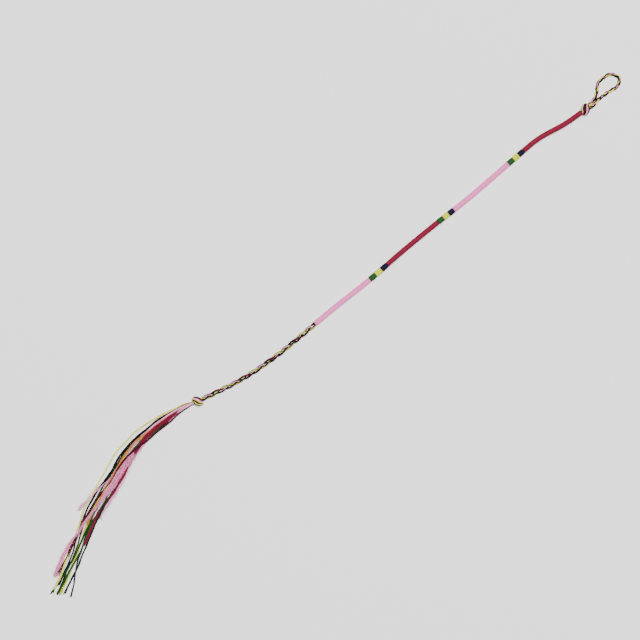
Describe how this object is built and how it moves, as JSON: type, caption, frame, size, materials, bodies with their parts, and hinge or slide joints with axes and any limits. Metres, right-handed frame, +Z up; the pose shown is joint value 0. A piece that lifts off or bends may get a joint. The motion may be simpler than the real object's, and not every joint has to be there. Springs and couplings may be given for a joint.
{
  "type": "friendship bracelet",
  "caption": "Slim wrapped-thread friendship bracelet in crimson and pink with narrow bands, a braided loop at one end, a loose braid, knots and a long thread tassel, lying open.",
  "frame": {"origin": "on the surface it lies on, under the middle of its bounding box", "axes": "+X along its length, from the tassel towards the loop; +Y across it; +Z up from the surface"},
  "size_m": [0.3788, 0.0404, 0.0037],
  "materials": {
    "crimson_thread": "mercerised cotton floss",
    "pink_thread": "mercerised cotton floss",
    "navy_thread": "mercerised cotton floss",
    "yellow_thread": "mercerised cotton floss",
    "green_thread": "mercerised cotton floss",
    "maroon_thread": "mercerised cotton floss"
  },
  "bodies": {
    "root": {"loop_strand_1": "navy_thread", "loop_strand_2": "yellow_thread", "loop_strand_3": "maroon_thread", "loop_knot": "pink_thread", "core_threads": "maroon_thread", "crimson_wrap_1": "crimson_thread", "navy_band_1": "navy_thread", "yellow_band_1": "yellow_thread", "green_band_1": "green_thread", "pink_wrap_1": "pink_thread", "navy_band_2": "navy_thread", "yellow_band_2": "yellow_thread", "green_band_2": "green_thread", "crimson_wrap_2": "crimson_thread", "navy_band_3": "navy_thread", "yellow_band_3": "yellow_thread", "green_band_3": "green_thread", "pink_wrap_2": "pink_thread", "braid_strand_1": "green_thread", "braid_strand_2": "pink_thread", "braid_strand_3": "maroon_thread", "tail_knot": "yellow_thread", "tassel": "pink_thread"}
  },
  "joints": []
}
